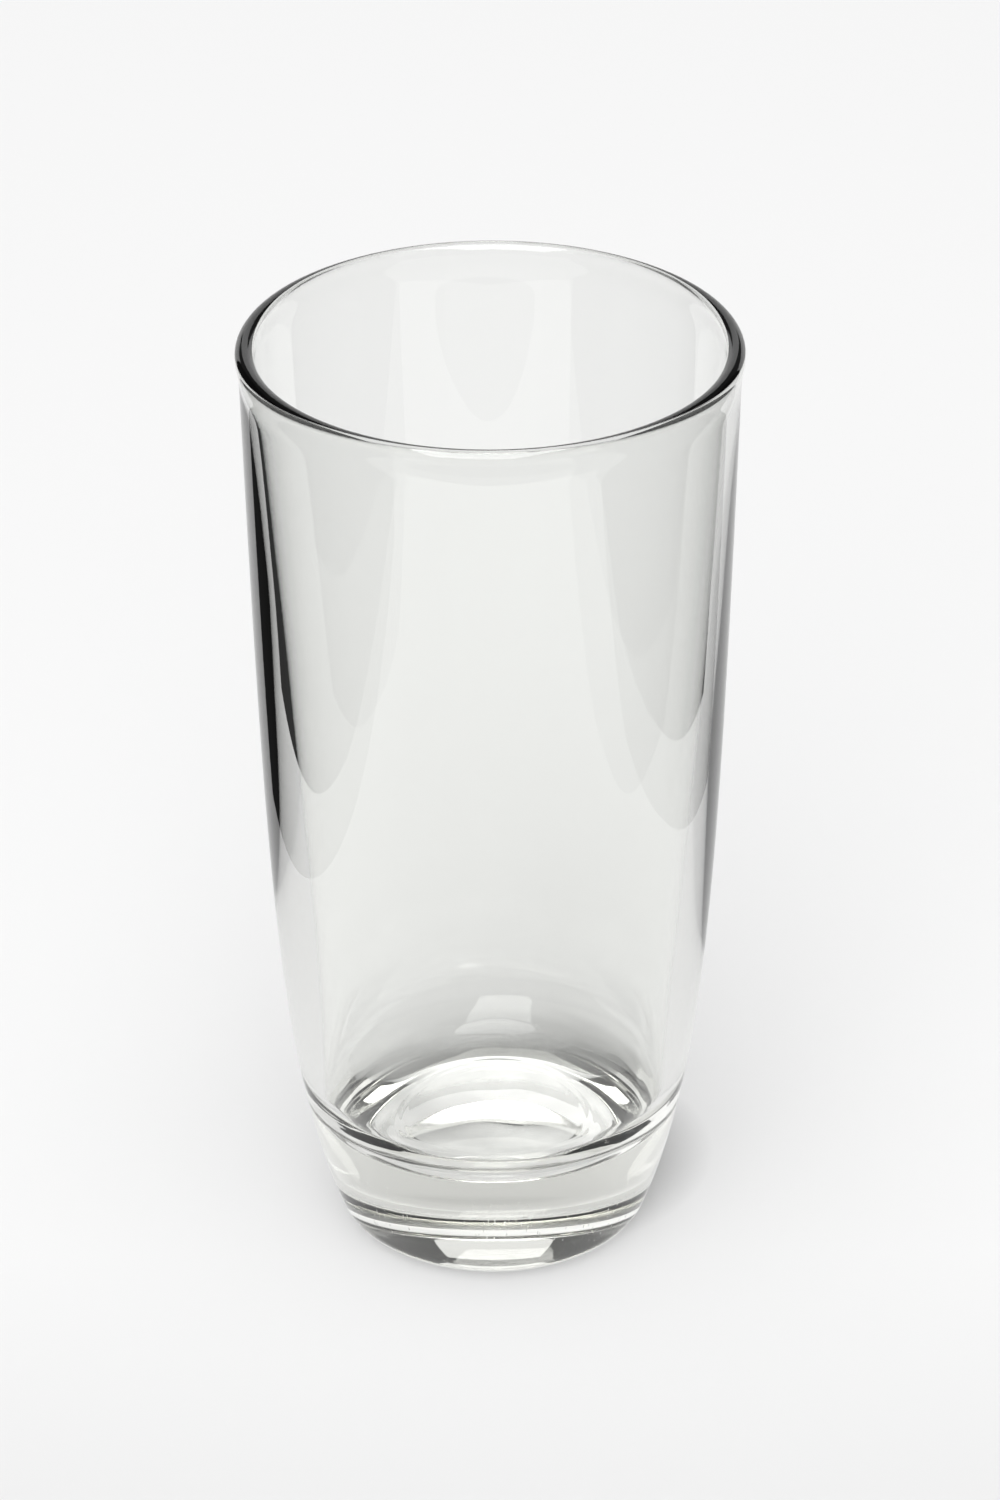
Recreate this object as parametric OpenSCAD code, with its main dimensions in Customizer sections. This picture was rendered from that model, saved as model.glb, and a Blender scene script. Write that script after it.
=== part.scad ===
// Tall drinking glass, pressed in one piece from clear glass.
// The origin is the centre of the ring that the glass stands on, and +Z points up to the rim.
// Every surface is turned about the Z axis.

/* [Body] */
// Height from the table to the top of the rim
glass_h = 140; // [100:1:180]
// Diameter of the wall just under the rim
neck_d = 70; // [60:1:90]
// Diameter that the wall would have at the table, before the heel is rounded
foot_d = 43; // [34:1:56]
// Diameter that the straight draft of the mould takes off between rim and table
draft_d = 7.4; // [0:0.2:10]
// Height over which the lower body curves in towards the foot
curve_h = 25; // [15:1:40]
// Radius of the heel between the wall and the ring that it stands on
heel_r = 5; // [2:0.1:7]

/* [Rim] */
// How far the fire-polished rim stands proud of the wall's outside
rim_proud = 0.4; // [0:0.05:1]
// How far the rim stands proud of the wall's inside
rim_inset = 0.25; // [0:0.05:1]
// Height over which the wall swells into the rim
rim_fade_h = 2; // [1:0.1:5]

/* [Cavity] */
// Wall thickness just under the rim
wall_top = 2; // [1.5:0.1:3]
// Wall thickness at the height of the cavity's floor, if the cavity had a sharp corner there
wall_low = 3.2; // [2:0.1:6]
// Thickness of the base, from the table to the floor of the cavity
floor_t = 17; // [10:0.5:30]
// Radius of the corner between the floor and the wall
corner_r = 10; // [4:0.5:14]

/* [Underside] */
// Width of the flat ring that the glass stands on
ring_w = 2.5; // [1:0.5:6]
// Depth of the hollow inside that ring, at its centre
hollow_h = 1.5; // [0.5:0.1:3]

/* [Hidden] */
$fn = 96;

// Overrun of every cut past the surface that it opens
cut_over = 1;
// How the cavity narrows on its way down: 1 is at a steady rate, more is later
bend_share = 1.3;
// How far below the rim its swell still counts, in fade heights
swell_reach_share = 3;
// Steps along the curved wall, the rim's swell and each rounded corner
wall_steps = 36;
swell_steps = 12;
arc_steps = 10;

neck_r = neck_d / 2;
draft_r = draft_d / 2;
tuck_r = neck_r - draft_r - foot_d / 2;
rim_t = rim_proud + wall_top + rim_inset;
rim_r = rim_t / 2;
rim_z = glass_h - rim_r;
cavity_h = rim_z - floor_t;

// Radius of the outer wall at height z, without the rim's swell:
// a straight draft, and a curve that fades upwards and draws the foot in
function wall_radius(z) = neck_r - draft_r * (1 - z / glass_h) - tuck_r * exp(-z / curve_h);
function wall_slope(z) = draft_r / glass_h + tuck_r / curve_h * exp(-z / curve_h);

// Share of the rim's swell at height z, and the outer surface with it
function rim_swell(z) = exp(-pow((rim_z - z) / rim_fade_h, 2));
function outer_radius(z) = wall_radius(z) + rim_proud * rim_swell(z);

// Inner surface: nearly straight from the rim to the corner above the floor
top_r = wall_radius(rim_z) - wall_top;
low_r = wall_radius(floor_t) - wall_low;
function depth_share(z) = max(0, rim_z - z) / cavity_h;
function bore_radius(z) = top_r - (top_r - low_r) * pow(depth_share(z), bend_share);
function bore_slope(z) = (top_r - low_r) / cavity_h * bend_share * pow(depth_share(z), bend_share - 1);
function inner_radius(z) = bore_radius(z) - rim_inset * rim_swell(z);

// Points of an arc about (x, y) from angle a to angle b
function arc(x, y, r, a, b) =
    [for (i = [0 : arc_steps]) let (t = a + (b - a) * i / arc_steps) [x + r * cos(t), y + r * sin(t)]];

// Heel: tangent to the table and to the wall
heel_a = -atan(wall_slope(heel_r));
heel_top = heel_r + heel_r * sin(heel_a);
heel_x = wall_radius(heel_top) - heel_r * cos(heel_a);
hollow_r = heel_x - ring_w;

// Corner of the cavity: tangent to the floor and to the inner wall
corner_z = floor_t + corner_r;
corner_a = -atan(bore_slope(corner_z));
corner_top = corner_z + corner_r * sin(corner_a);
corner_x = bore_radius(corner_top) - corner_r * cos(corner_a);

// Height where the rim's swell begins, and the steps of a wall from there down to a height
swell_z = rim_z - swell_reach_share * rim_fade_h;
function heights(from, to, steps) = [for (i = [1 : steps]) from + (to - from) * i / steps];
function wall_heights(from) =
    concat(heights(from, swell_z, wall_steps), heights(swell_z, rim_z, swell_steps));

// Solid shape inside the mould, up to the start of the rim's rounding
module blank_outline() {
    polygon(concat(
        [[0, 0]],
        arc(heel_x, heel_r, heel_r, -90, heel_a),
        [for (z = wall_heights(heel_top)) [outer_radius(z), z]],
        [[0, rim_z]]
    ));
}

// Round top of the rim, which the flame melts to a half circle
module rim_outline() {
    translate([outer_radius(rim_z) - rim_r, rim_z])
        circle(r = rim_r);
}

// Space for the drink, open past the top of the rim
module cavity_outline() {
    polygon(concat(
        [[0, floor_t]],
        arc(corner_x, corner_z, corner_r, -90, corner_a),
        [for (z = wall_heights(corner_top)) [inner_radius(z), z]],
        [[inner_radius(rim_z), glass_h + cut_over], [0, glass_h + cut_over]]
    ));
}

// Shallow dome under the base, so that the glass stands on a ring
module hollow_outline() {
    dome_r = (hollow_r * hollow_r + hollow_h * hollow_h) / (2 * hollow_h);
    intersection() {
        translate([0, hollow_h - dome_r])
            circle(r = dome_r);
        translate([0, -cut_over])
            square([hollow_r + cut_over, hollow_h + 2 * cut_over]);
    }
}

module tumbler() {
    color([0.86, 0.9, 0.88, 0.35])
        rotate_extrude()
            difference() {
                union() {
                    blank_outline();
                    rim_outline();
                }
                cavity_outline();
                hollow_outline();
            }
}

tumbler();
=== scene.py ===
import math

import bpy
from mathutils import Matrix, Vector, noise


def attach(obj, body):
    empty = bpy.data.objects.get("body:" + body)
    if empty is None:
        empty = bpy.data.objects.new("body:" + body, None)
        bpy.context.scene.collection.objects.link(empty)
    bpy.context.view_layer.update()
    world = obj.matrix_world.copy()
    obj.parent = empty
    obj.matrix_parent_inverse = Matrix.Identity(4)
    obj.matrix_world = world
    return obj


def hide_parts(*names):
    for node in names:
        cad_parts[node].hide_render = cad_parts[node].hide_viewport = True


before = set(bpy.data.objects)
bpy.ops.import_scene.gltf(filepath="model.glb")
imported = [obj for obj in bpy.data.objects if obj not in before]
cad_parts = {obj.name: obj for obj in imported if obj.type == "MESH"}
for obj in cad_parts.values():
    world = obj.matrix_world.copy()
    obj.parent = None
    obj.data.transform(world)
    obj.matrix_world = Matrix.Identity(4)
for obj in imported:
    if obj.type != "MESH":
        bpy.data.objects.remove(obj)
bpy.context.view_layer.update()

MM = 0.001

# The glass, in millimetres, with the same values as the CAD source
GLASS_H = 140
NECK_R = 35
FOOT_R = 21.5
DRAFT_R = 3.7
CURVE_H = 25
HEEL_R = 5
RIM_PROUD = 0.4
RIM_INSET = 0.25
RIM_FADE_H = 2
WALL_TOP = 2
WALL_LOW = 3.2
BEND = 1.3
FLOOR_T = 17
CORNER_R = 10
RING_W = 2.5
HOLLOW_H = 1.5

RIM_T = RIM_PROUD + WALL_TOP + RIM_INSET
RIM_R = RIM_T / 2
RIM_Z = GLASS_H - RIM_R
TUCK_R = NECK_R - DRAFT_R - FOOT_R
CAVITY_H = RIM_Z - FLOOR_T

# How far the cavity bows to one side
BOW = 0.45
# Waves of the pressed wall: depth, length, and how fast they set in below the rim
WALL_WAVE = 0.02
WALL_WAVE_L = 11
WAVE_RISE = 6
# Waves of the cavity's floor: depth, length, the radius that they reach and how sharply they end there
FLOOR_WAVE = 0.09
FLOOR_WAVE_L = 6
FLOOR_WAVE_R = 17
FLOOR_WAVE_END = 4
# Height over the floor up to which a point counts as floor, and radius within which no point moves out
FLOOR_REACH = 1
STILL_R = 1
# Turning marks of the plunger: round its corner, and two grooves in the floor
CORNER_MARK = 0.07
CORNER_MARK_L = 1.0
GROOVES = (14.2, 13.1)
GROOVE_W = 0.3
GROOVE_D = 0.06
# Steps of the visual mesh round the axis, and along its half section from the hollow to the floor
TURN_STEPS = 256
HOLLOW_STEPS = 24
RING_STEPS = 4
HEEL_STEPS = 14
OUTER_STEPS = 70
SWELL_STEPS = 20
RIM_STEPS = 28
INNER_STEPS = 80
CORNER_STEPS = 48
FLOOR_STEPS = 72
# Height below the rim that has the finer steps, and the radius up to which a point lies on the axis
SWELL_H = 6
AXIS_R = 1e-6


def wall_radius(z):
    return NECK_R - DRAFT_R * (1 - z / GLASS_H) - TUCK_R * math.exp(-z / CURVE_H)


def wall_slope(z):
    return DRAFT_R / GLASS_H + TUCK_R / CURVE_H * math.exp(-z / CURVE_H)


def rim_swell(z):
    return math.exp(-(((RIM_Z - z) / RIM_FADE_H) ** 2))


def outer_radius(z):
    return wall_radius(z) + RIM_PROUD * rim_swell(z)


def narrowing():
    """How much narrower the cavity is at the floor's level, before its corner, than at the rim."""
    return wall_radius(RIM_Z) - WALL_TOP - (wall_radius(FLOOR_T) - WALL_LOW)


def inner_radius(z):
    share = ((RIM_Z - z) / CAVITY_H) ** BEND
    return wall_radius(RIM_Z) - WALL_TOP - narrowing() * share - RIM_INSET * rim_swell(z)


def inner_slope(z):
    return narrowing() / CAVITY_H * BEND * ((RIM_Z - z) / CAVITY_H) ** (BEND - 1)


def arc(x, z, r, a, b, steps):
    """Points of an arc, angles in radians, without the first one."""
    turn = [a + (b - a) * i / steps for i in range(1, steps + 1)]
    return [(x + r * math.cos(t), z + r * math.sin(t)) for t in turn]


def heights(start, end, steps):
    """Heights from start to end in even steps, without the first one."""
    return [start + (end - start) * i / steps for i in range(1, steps + 1)]


def hollow_profile(hollow_r):
    """Half section of the dome under the base, from its centre out to the resting ring."""
    dome_r = (hollow_r ** 2 + HOLLOW_H ** 2) / (2 * HOLLOW_H)
    dome_a = math.asin(hollow_r / dome_r)
    turn = [dome_a * i / HOLLOW_STEPS for i in range(1, HOLLOW_STEPS + 1)]
    dome = [(dome_r * math.sin(t), HOLLOW_H - dome_r + dome_r * math.cos(t)) for t in turn]
    return [(0, HOLLOW_H)] + dome


def outer_profile():
    """Half section from the centre of the hollow out, and up the wall to the rim's widest point."""
    heel_a = -math.atan(wall_slope(HEEL_R))
    heel_top = HEEL_R + HEEL_R * math.sin(heel_a)
    heel_x = wall_radius(heel_top) - HEEL_R * math.cos(heel_a)
    hollow_r = heel_x - RING_W
    points = hollow_profile(hollow_r)
    points += [(hollow_r + RING_W * i / RING_STEPS, 0) for i in range(1, RING_STEPS + 1)]
    points += arc(heel_x, HEEL_R, HEEL_R, -math.pi / 2, heel_a, HEEL_STEPS)
    points += [(outer_radius(z), z) for z in heights(heel_top, RIM_Z - SWELL_H, OUTER_STEPS)]
    points += [(outer_radius(z), z) for z in heights(RIM_Z - SWELL_H, RIM_Z, SWELL_STEPS)]
    return points


def rim_profile():
    return arc(outer_radius(RIM_Z) - RIM_R, RIM_Z, RIM_R, 0, math.pi, RIM_STEPS)


def inner_profile():
    """Half section down the cavity's wall, round its corner and in to the centre of the floor."""
    corner_z = FLOOR_T + CORNER_R
    corner_a = -math.atan(inner_slope(corner_z))
    corner_top = corner_z + CORNER_R * math.sin(corner_a)
    corner_x = inner_radius(corner_top) - CORNER_R * math.cos(corner_a)
    points = [(inner_radius(z), z) for z in heights(RIM_Z, RIM_Z - SWELL_H, SWELL_STEPS)]
    points += [(inner_radius(z), z) for z in heights(RIM_Z - SWELL_H, corner_top, INNER_STEPS)]
    points += arc(corner_x, corner_z, CORNER_R, corner_a, -math.pi / 2, CORNER_STEPS)
    points += [(corner_x * (1 - i / FLOOR_STEPS), FLOOR_T) for i in range(1, FLOOR_STEPS + 1)]
    return points


def press_marks(x, y, z):
    """A point of the cavity's surface, moved as the press leaves it: bowed to one side and wavy."""
    depth = min(1, max(0, (RIM_Z - z) / CAVITY_H))
    fade = math.sin(math.pi * min(depth * WAVE_RISE, 0.5)) ** 2
    wave = WALL_WAVE * fade * noise.noise(Vector((x, y, z / 2)) / WALL_WAVE_L)
    radius = math.hypot(x, y)
    corner_share = math.sin(math.pi * min(1, max(0, (z - FLOOR_T) / CORNER_R)))
    turned = Vector((x, y, 0)) / WALL_WAVE_L + Vector((0, 0, z / CORNER_MARK_L))
    wave += CORNER_MARK * corner_share * noise.noise(turned)
    on_floor = z < FLOOR_T + FLOOR_REACH
    floor_share = max(0, 1 - (radius / FLOOR_WAVE_R) ** FLOOR_WAVE_END) if on_floor else 0
    lift = FLOOR_WAVE * floor_share * noise.noise(Vector((x, y, 0)) / FLOOR_WAVE_L)
    lift -= GROOVE_D * sum(math.exp(-(((radius - r) / GROOVE_W) ** 2)) for r in GROOVES)
    stretch = 1 + wave / radius if radius > STILL_R else 1
    return x * stretch + BOW * math.sin(math.pi * depth), y * stretch, z + lift


def lathe(name, outer, inner, segments):
    """Turns a half section whose two ends lie on the axis into a closed, smooth mesh."""
    verts, faces, rings = [], [], []
    for i, (x, z) in enumerate(outer + inner):
        count = segments if x > AXIS_R else 1
        rings.append(list(range(len(verts), len(verts) + count)))
        for s in range(count):
            a = 2 * math.pi * s / segments
            point = (x * math.cos(a), x * math.sin(a), z)
            verts.append(Vector(press_marks(*point) if i >= len(outer) else point) * MM)
    for low, high in zip(rings, rings[1:]):
        for s in range(segments):
            t = (s + 1) % segments
            face = [low[s % len(low)], low[t % len(low)], high[t % len(high)], high[s % len(high)]]
            # A ring on the axis has one point, so a face there has one corner less
            faces.append([v for i, v in enumerate(face) if v not in face[:i]])
    mesh = bpy.data.meshes.new(name)
    mesh.from_pydata(verts, [], faces)
    mesh.validate()
    mesh.polygons.foreach_set("use_smooth", [True] * len(mesh.polygons))
    piece = bpy.data.objects.new(name, mesh)
    bpy.context.scene.collection.objects.link(piece)
    return piece


# The glass itself: surface tint, refraction, and the tint and density of its body
GLASS_TINT = (0.981, 0.986, 0.975, 1)
GLASS_IOR = 1.52
BODY_TINT = (0.875, 0.875, 0.837, 1)
BODY_DENSITY = 20
# The worn resting ring, in metres: roughness, the share that no longer lets light through,
# the heights where the wear begins and is full, and the radius where it begins, with its width
RING_ROUGH = 0.4
RING_FROST = 0.3
WEAR_TOP = 0.0009
WEAR_FULL = 0.0003
WEAR_R = 0.0155
WEAR_EDGE = 0.0002
# Grain of that wear: grains per metre, turn, the noise values between which it rises, and its least share
GRAIN = (2500, 500, 2500)
GRAIN_TURN = (0, 0, 0.6)
GRAIN_LOW, GRAIN_HIGH = 0.35, 0.65
GRAIN_LEAST = 0.7
# Scratches low on the wall: how high they reach, their depth in metres and their roughness
SCRATCH_TOP = 0.03
SCRATCH_DEEP = 0.00001
SCRATCH_ROUGH = 0.3
# Their strokes: cells per metre, lean, a stroke's core and edge in its cell, and which cells have one
STROKE = (2600, 2600, 150)
STROKE_TURN = (0.5, 0.4, 0)
STROKE_CORE, STROKE_EDGE = 0.1, 0.22
STROKE_NONE, STROKE_SOME = 0.4, 0.45
# The patches in which the scratches lie: patches per metre, and the noise values between which they begin
PATCH = (90, 90, 90)
PATCH_NONE, PATCH_SOME = 0.45, 0.6
# Detail of the finer noises
FINE = 2


def material(name):
    made = bpy.data.materials.new(name)
    made.use_nodes = True
    return made, made.node_tree.nodes, made.node_tree.links


def ramp(nodes, links, value, low, high, start=0, end=1):
    """The value, mapped from low..high to start..end and held beyond."""
    node = nodes.new("ShaderNodeMapRange")
    for socket, number in zip(("From Min", "From Max", "To Min", "To Max"), (low, high, start, end)):
        node.inputs[socket].default_value = number
    links.new(value, node.inputs["Value"])
    return node.outputs["Result"]


def maths(nodes, links, operation, a, b):
    """An operation on a value and on another one, or on a number."""
    node = nodes.new("ShaderNodeMath")
    node.operation = operation
    links.new(a, node.inputs[0])
    if isinstance(b, (int, float)):
        node.inputs[1].default_value = b
    else:
        links.new(b, node.inputs[1])
    return node.outputs[0]


def stretched(nodes, links, place, stretch, turn, kind):
    """A texture of that kind, turned, with as many cells per metre along each axis as the stretch says."""
    mapping = nodes.new("ShaderNodeMapping")
    mapping.inputs["Rotation"].default_value = turn
    mapping.inputs["Scale"].default_value = stretch
    links.new(place, mapping.inputs["Vector"])
    texture = nodes.new(kind)
    texture.inputs["Scale"].default_value = 1
    links.new(mapping.outputs[0], texture.inputs["Vector"])
    return texture


def noise_field(nodes, links, place, stretch, turn, detail):
    field = stretched(nodes, links, place, stretch, turn, "ShaderNodeTexNoise")
    field.inputs["Detail"].default_value = detail
    return field.outputs["Fac"]


def strokes(nodes, links, place):
    """1 on short straight strokes that all lean one way, and 0 beside them."""
    cells = stretched(nodes, links, place, STROKE, STROKE_TURN, "ShaderNodeTexVoronoi")
    near = ramp(nodes, links, cells.outputs["Distance"], STROKE_CORE, STROKE_EDGE, 1, 0)
    picked = ramp(nodes, links, cells.outputs["Color"], STROKE_NONE, STROKE_SOME)
    return maths(nodes, links, "MULTIPLY", near, picked)


def worn_ring(nodes, links, place, height):
    """How worn the resting ring is: 0 everywhere but on the ring, and grainy there."""
    flat = nodes.new("ShaderNodeVectorMath")
    flat.operation = "MULTIPLY"
    flat.inputs[1].default_value = (1, 1, 0)
    links.new(place, flat.inputs[0])
    radius = nodes.new("ShaderNodeVectorMath")
    radius.operation = "LENGTH"
    links.new(flat.outputs[0], radius.inputs[0])
    ring = maths(nodes, links, "MULTIPLY", ramp(nodes, links, height, WEAR_TOP, WEAR_FULL),
                 ramp(nodes, links, radius.outputs["Value"], WEAR_R, WEAR_R + WEAR_EDGE))
    grain = noise_field(nodes, links, place, GRAIN, GRAIN_TURN, FINE)
    grainy = ramp(nodes, links, grain, GRAIN_LOW, GRAIN_HIGH, GRAIN_LEAST, 1)
    return maths(nodes, links, "MULTIPLY", ring, grainy)


def low_scratches(nodes, links, place, height):
    """1 on the scratches, which lie in patches and fade out up the wall."""
    hairs = strokes(nodes, links, place)
    field = noise_field(nodes, links, place, PATCH, (0, 0, 0), 0)
    patches = ramp(nodes, links, field, PATCH_NONE, PATCH_SOME)
    low = ramp(nodes, links, height, SCRATCH_TOP, SCRATCH_TOP / 2)
    return maths(nodes, links, "MULTIPLY", maths(nodes, links, "MULTIPLY", hairs, patches), low)


def clear_glass():
    """Clear glass with the wear of use: a scuffed resting ring, and tiny scratches low on the wall."""
    made, nodes, links = material("clear_glass")
    shader = nodes["Principled BSDF"]
    shader.inputs["Base Color"].default_value = GLASS_TINT
    shader.inputs["IOR"].default_value = GLASS_IOR
    place = nodes.new("ShaderNodeTexCoord").outputs["Object"]
    parts = nodes.new("ShaderNodeSeparateXYZ")
    links.new(place, parts.inputs[0])
    worn = worn_ring(nodes, links, place, parts.outputs["Z"])
    shader.inputs["Transmission Weight"].default_value = 1
    links.new(ramp(nodes, links, worn, 0, 1, 1, 1 - RING_FROST), shader.inputs["Transmission Weight"])
    scratches = low_scratches(nodes, links, place, parts.outputs["Z"])
    scuffs = maths(nodes, links, "MULTIPLY", scratches, SCRATCH_ROUGH)
    links.new(maths(nodes, links, "ADD", maths(nodes, links, "MULTIPLY", worn, RING_ROUGH), scuffs),
              shader.inputs["Roughness"])
    bump = nodes.new("ShaderNodeBump")
    bump.invert = True
    bump.inputs["Strength"].default_value = 1
    bump.inputs["Distance"].default_value = SCRATCH_DEEP
    links.new(scratches, bump.inputs["Height"])
    links.new(bump.outputs[0], shader.inputs["Normal"])
    body = nodes.new("ShaderNodeVolumeAbsorption")
    body.inputs["Color"].default_value = BODY_TINT
    body.inputs["Density"].default_value = BODY_DENSITY
    links.new(body.outputs[0], nodes["Material Output"].inputs["Volume"])
    return made


def make_glass():
    piece = lathe("tumbler_glass", outer_profile() + rim_profile(), inner_profile(), TURN_STEPS)
    piece.data.materials.append(clear_glass())
    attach(piece, "root")
    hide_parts("tumbler")


# Camera, fitted to the photo's outline of the glass: focal length in the photo's pixels,
# sensor in millimetres, eye in metres and turns in radians
PHOTO_H = 1500
FOCAL_PX = 6500
SENSOR = 36
EYE = Vector((0, -814.65, 520.45)) * MM
PITCH, PAN, ROLL = (math.radians(a) for a in (28.621, 0.072, -0.236))
CLIP = (0.05, 50)


def make_camera():
    data = bpy.data.cameras.new("camera")
    data.sensor_width = SENSOR
    data.lens = SENSOR * FOCAL_PX / PHOTO_H
    data.clip_start, data.clip_end = CLIP
    ahead = Vector((0, math.cos(PITCH), -math.sin(PITCH)))
    right = Vector((1, 0, 0))
    up = right.cross(ahead)
    ahead, right = (ahead * math.cos(PAN) + right * math.sin(PAN),
                    right * math.cos(PAN) - ahead * math.sin(PAN))
    right, up = (right * math.cos(ROLL) + up * math.sin(ROLL),
                 up * math.cos(ROLL) - right * math.sin(ROLL))
    turn = Matrix((right, up, -ahead)).transposed()
    camera = bpy.data.objects.new("camera", data)
    camera.matrix_world = Matrix.Translation(EYE) @ turn.to_4x4()
    bpy.context.scene.collection.objects.link(camera)
    bpy.context.scene.camera = camera


# The table, in metres: half its width, its height and roughness
FLOOR_R = 4
FLOOR_Z = -0.00005
FLOOR_ROUGH = 0.9
# Its colour behind the glass, a darker colour in front of it that is painted shade, and the places between
# which one turns into the other
FLOOR_WHITE = 0.46
FLOOR_FRONT_SHADE = 0.40
FRONT_Y = -0.075
BACK_Y = -0.015
# Its glow for the camera and through the glass, and the point in the base's shade round which
# the glow is off within the first distance and full past the second: a painted shadow behind the foot
FLOOR_GLOW = 0.39
SHADE_MID = (0.005, 0.014, 0)
SHADE_R = 0.014
SHADE_END = 0.028
# The table in the glass's reflections, a painted reflection in an even grey glow darker than the lit table,
# and where it ends in front and the dark room begins
TABLE_PAINTED_REFLECTION = 0.82
TABLE_FRONT = -0.285
# A painted pool of the light that the base gathers on the table, a glowing disc: centre, radius, height and
# sides of the disc, the direction and the places along it between which it brightens, and its two shades
SPOT_Y = 0.0045
SPOT_R = 0.0203
SPOT_Z = 0.00002
SPOT_SIDES = 64
SPOT_TURN = (1, 1.2, 0)
SPOT_FROM = 0.006
SPOT_TO = 0.020
SPOT_GREY = 0.78
SPOT_WHITE = 1.12
# How patchy it is, its patches per metre, and the noise values between which they change
SPOT_WAVE = 0.1
SPOT_PATCH = (140, 140, 140)
SPOT_LOW, SPOT_HIGH = 0.3, 0.7
# Cards that only the glass's reflections see: two dark flags with their footprints from back to front,
# and behind the glass a white panel over a wide low sweep
FLAG_H = 0.21
FLAG_BLACK = 0.04
LEFT_FLAG = ((-0.100, 0.097), (-0.171, -0.186))
RIGHT_FLAG = ((0.116, 0.088), (0.144, -0.008), (0.159, -0.081), (0.210, -0.190))
PANEL_Y = 1.5
PANEL_W = 0.86
PANEL_H = 1.8
SWEEP_W = 3.0
SWEEP_H = 0.55
PANEL_WHITE = 0.95
# The room in those reflections, and its bright ceiling, which sets in between two sines of elevation
ROOM_DARK = 0.12
CEILING_WHITE = 1.5
CEILING_FROM = math.sin(math.radians(66))
CEILING_FULL = math.sin(math.radians(72))
# Even light from all round, and one softbox high behind the camera, a little to the left
FILL = 0.5
LAMP_AZ = math.radians(-8)
LAMP_EL = math.radians(62)
LAMP_FAR = 4.0
LAMP_W, LAMP_H = 2.72, 5.2
LAMP_WHITE = 4.0
# Between a ray's count of 0 and one of 1
ANY = 0.5


def light_test(nodes, links, output, operation):
    """A value that is 1 where the ray's count of that kind passes the test against ANY."""
    path = nodes.new("ShaderNodeLightPath")
    test = nodes.new("ShaderNodeMath")
    test.operation = operation
    test.inputs[1].default_value = ANY
    links.new(path.outputs[output], test.inputs[0])
    return test.outputs[0]


def mirrored(nodes, links):
    """1 for what the glass reflects, and 0 for the camera, through the glass and for light on the floor."""
    both = nodes.new("ShaderNodeMath")
    both.operation = "MULTIPLY"
    links.new(light_test(nodes, links, "Glossy Depth", "GREATER_THAN"), both.inputs[0])
    links.new(light_test(nodes, links, "Diffuse Depth", "LESS_THAN"), both.inputs[1])
    return both.outputs[0]


def glowing(nodes, shade):
    """An even glow in a grey."""
    glow = nodes.new("ShaderNodeEmission")
    glow.inputs["Color"].default_value = (shade, shade, shade, 1)
    return glow


def mixed(nodes, links, share, first, second):
    """One shader where the share is 0, and another where it is 1."""
    mix = nodes.new("ShaderNodeMixShader")
    links.new(share, mix.inputs["Fac"])
    links.new(first.outputs[0], mix.inputs[1])
    links.new(second.outputs[0], mix.inputs[2])
    return mix


def staged(name, verts, faces):
    """A mesh that belongs to the stage."""
    mesh = bpy.data.meshes.new(name)
    mesh.from_pydata(verts, [], faces)
    made = bpy.data.objects.new(name, mesh)
    bpy.context.scene.collection.objects.link(made)
    return made


def sheet(name, corners):
    """A strip of the stage, its corners given in pairs."""
    return staged(name, corners, [(i, i + 1, i + 3, i + 2) for i in range(0, len(corners) - 2, 2)])


def matt(name):
    """A material without gloss that may glow white, and the place on it."""
    made, nodes, links = material(name)
    shader = nodes["Principled BSDF"]
    shader.inputs["Specular IOR Level"].default_value = 0
    shader.inputs["Emission Color"].default_value = (1, 1, 1, 1)
    place = nodes.new("ShaderNodeTexCoord").outputs["Object"]
    return made, nodes, links, shader, place


def make_floor():
    r, z = FLOOR_R, FLOOR_Z
    floor = sheet("floor", [(-r, -r, z), (r, -r, z), (-r, r, z), (r, r, z)])
    made, nodes, links, shader, place = matt("floor_white")
    shader.inputs["Roughness"].default_value = FLOOR_ROUGH
    parts = nodes.new("ShaderNodeSeparateXYZ")
    links.new(place, parts.inputs[0])
    # Painted shade: the table's colour darkens towards the front
    links.new(ramp(nodes, links, parts.outputs["Y"], FRONT_Y, BACK_Y, FLOOR_FRONT_SHADE, FLOOR_WHITE),
              shader.inputs["Base Color"])
    # Painted shadow: the table's glow goes off near the foot, in the base's shade
    reach = nodes.new("ShaderNodeVectorMath")
    reach.operation = "DISTANCE"
    reach.inputs[1].default_value = SHADE_MID
    links.new(place, reach.inputs[0])
    glow = ramp(nodes, links, reach.outputs["Value"], SHADE_R, SHADE_END, 0, FLOOR_GLOW)
    direct = light_test(nodes, links, "Diffuse Depth", "LESS_THAN")
    links.new(maths(nodes, links, "MULTIPLY", glow, direct), shader.inputs["Emission Strength"])
    # Painted reflection: what the glass reflects of the table is an even grey glow, not the lit table
    both = mixed(nodes, links, mirrored(nodes, links), shader, glowing(nodes, TABLE_PAINTED_REFLECTION))
    links.new(both.outputs[0], nodes["Material Output"].inputs["Surface"])
    floor.data.materials.append(made)


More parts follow.
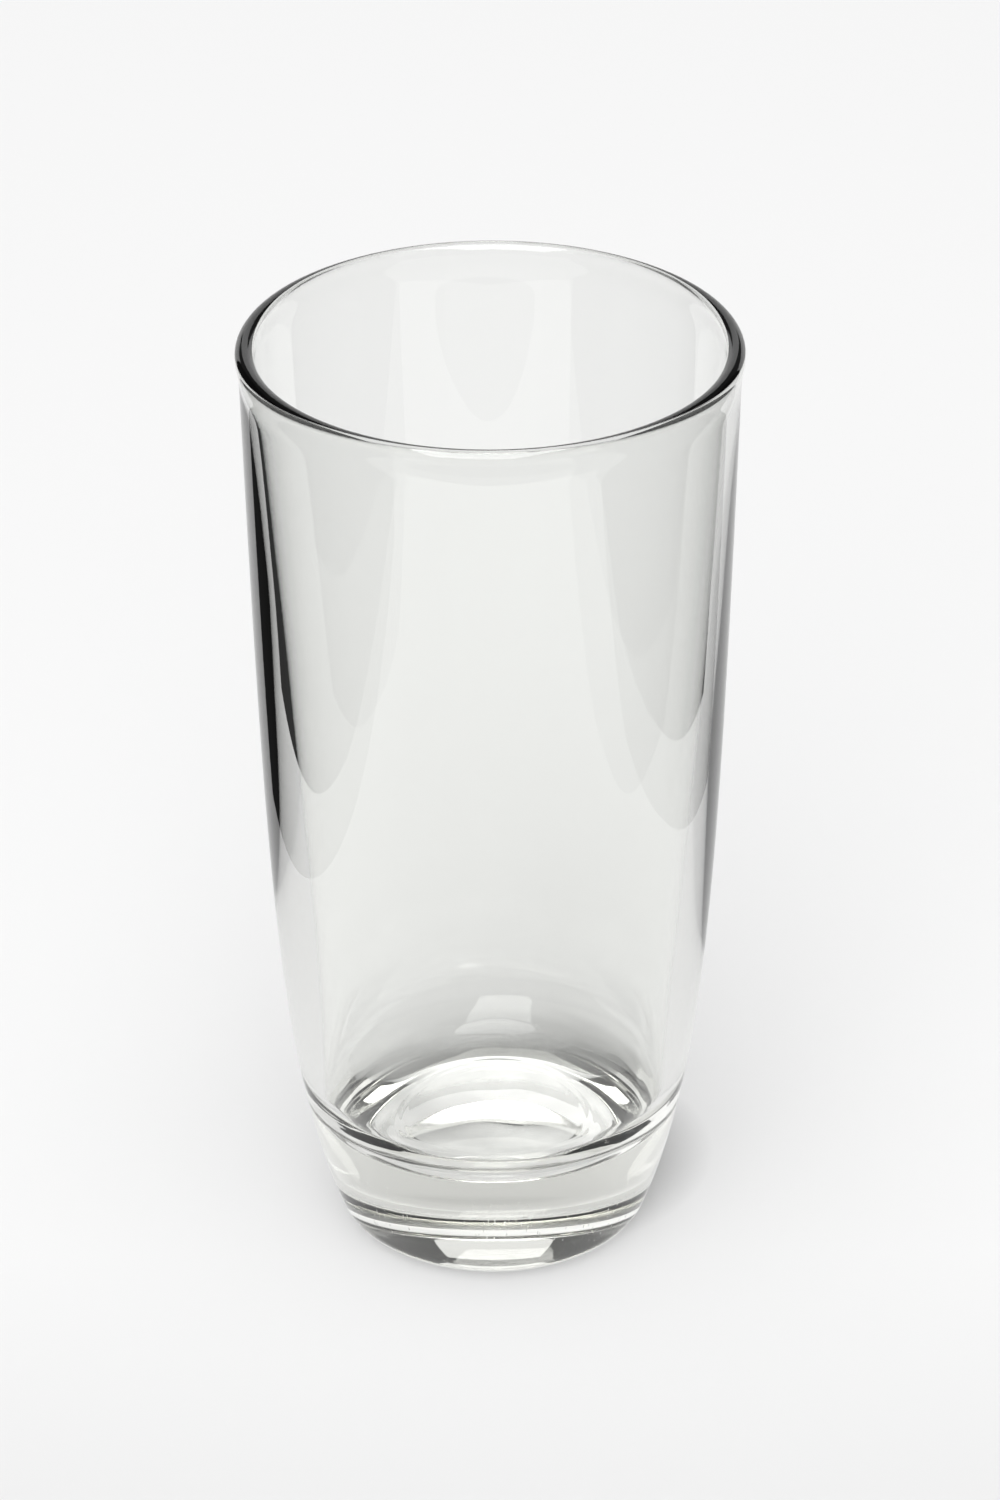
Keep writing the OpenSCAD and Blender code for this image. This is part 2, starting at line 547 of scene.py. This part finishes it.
def make_spot():
    """A painted pool of the light that the thick base gathers on the table: a glowing disc, seen as it
    shows through the glass.
    """
    around = [2 * math.pi * i / SPOT_SIDES for i in range(SPOT_SIDES)]
    verts = [(SPOT_R * math.cos(a), SPOT_Y + SPOT_R * math.sin(a), SPOT_Z) for a in around]
    spot = staged("spot", verts, [range(SPOT_SIDES)])
    spot.visible_camera = spot.visible_shadow = spot.visible_diffuse = False
    made, nodes, links, shader, place = matt("spot_white")
    shader.inputs["Base Color"].default_value = (0, 0, 0, 1)
    aside = nodes.new("ShaderNodeVectorMath")
    aside.operation = "DOT_PRODUCT"
    aside.inputs[1].default_value = SPOT_TURN
    links.new(place, aside.inputs[0])
    even = ramp(nodes, links, aside.outputs["Value"], SPOT_FROM, SPOT_TO, SPOT_GREY, SPOT_WHITE)
    waves = noise_field(nodes, links, place, SPOT_PATCH, (0, 0, 0), FINE)
    patchy = ramp(nodes, links, waves, SPOT_LOW, SPOT_HIGH, -SPOT_WAVE, SPOT_WAVE)
    links.new(maths(nodes, links, "ADD", even, patchy), shader.inputs["Emission Strength"])
    spot.data.materials.append(made)


def make_reflected(name, corners, shade):
    """A flat colour that stands in the glass's reflections only."""
    card = sheet(name, corners)
    made, nodes, links = material(name)
    nodes.remove(nodes["Principled BSDF"])
    clear = nodes.new("ShaderNodeBsdfTransparent")
    both = mixed(nodes, links, mirrored(nodes, links), clear, glowing(nodes, shade))
    links.new(both.outputs[0], nodes["Material Output"].inputs["Surface"])
    card.data.materials.append(made)
    card.visible_shadow = False


def make_flag(name, footprint):
    make_reflected(name, [(x, y, z) for x, y in footprint for z in (0, FLAG_H)], FLAG_BLACK)


def make_studio():
    make_flag("flag_left", LEFT_FLAG)
    make_flag("flag_right", RIGHT_FLAG)
    r, front, z = FLOOR_R, TABLE_FRONT, -FLOOR_Z
    make_reflected("table_front", [(-r, -r, z), (r, -r, z), (-r, front, z), (r, front, z)], ROOM_DARK)
    for name, width, height in (("panel", PANEL_W, PANEL_H), ("sweep", SWEEP_W, SWEEP_H)):
        w, y = width / 2, PANEL_Y
        make_reflected(name, [(-w, y, 0), (w, y, 0), (-w, y, height), (w, y, height)], PANEL_WHITE)


def make_softbox():
    data = bpy.data.lights.new("softbox", "AREA")
    data.shape = "RECTANGLE"
    data.size, data.size_y = LAMP_W, LAMP_H
    data.energy = LAMP_WHITE * math.pi * LAMP_W * LAMP_H
    lamp = bpy.data.objects.new("softbox", data)
    away, height = LAMP_FAR * math.cos(LAMP_EL), LAMP_FAR * math.sin(LAMP_EL)
    lamp.location = (away * math.sin(LAMP_AZ), -away * math.cos(LAMP_AZ), height)
    lamp.rotation_euler = (math.pi / 2 - LAMP_EL, 0, LAMP_AZ)
    lamp.visible_camera = False
    bpy.context.scene.collection.objects.link(lamp)


def make_world():
    """Even light on the floor, a white surround for the camera, and a room for the glass's reflections."""
    world = bpy.data.worlds.new("studio")
    bpy.context.scene.world = world
    world.use_nodes = True
    nodes, links = world.node_tree.nodes, world.node_tree.links
    ambient = nodes["Background"]
    ambient.inputs["Strength"].default_value = FILL
    ambient.inputs["Color"].default_value = (1, 1, 1, 1)
    seen = nodes.new("ShaderNodeBackground")
    seen.inputs["Strength"].default_value = PANEL_WHITE
    room = nodes.new("ShaderNodeBackground")
    parts = nodes.new("ShaderNodeSeparateXYZ")
    links.new(nodes.new("ShaderNodeTexCoord").outputs["Generated"], parts.inputs[0])
    links.new(ramp(nodes, links, parts.outputs["Z"], CEILING_FROM, CEILING_FULL, ROOM_DARK, CEILING_WHITE),
              room.inputs["Strength"])
    direct = mixed(nodes, links, light_test(nodes, links, "Diffuse Depth", "LESS_THAN"), ambient, seen)
    whole = mixed(nodes, links, mirrored(nodes, links), direct, room)
    links.new(whole.outputs[0], nodes["World Output"].inputs["Surface"])


make_glass()
make_camera()
make_floor()
make_spot()
make_studio()
make_softbox()
make_world()
bpy.context.scene.view_settings.view_transform = "Standard"
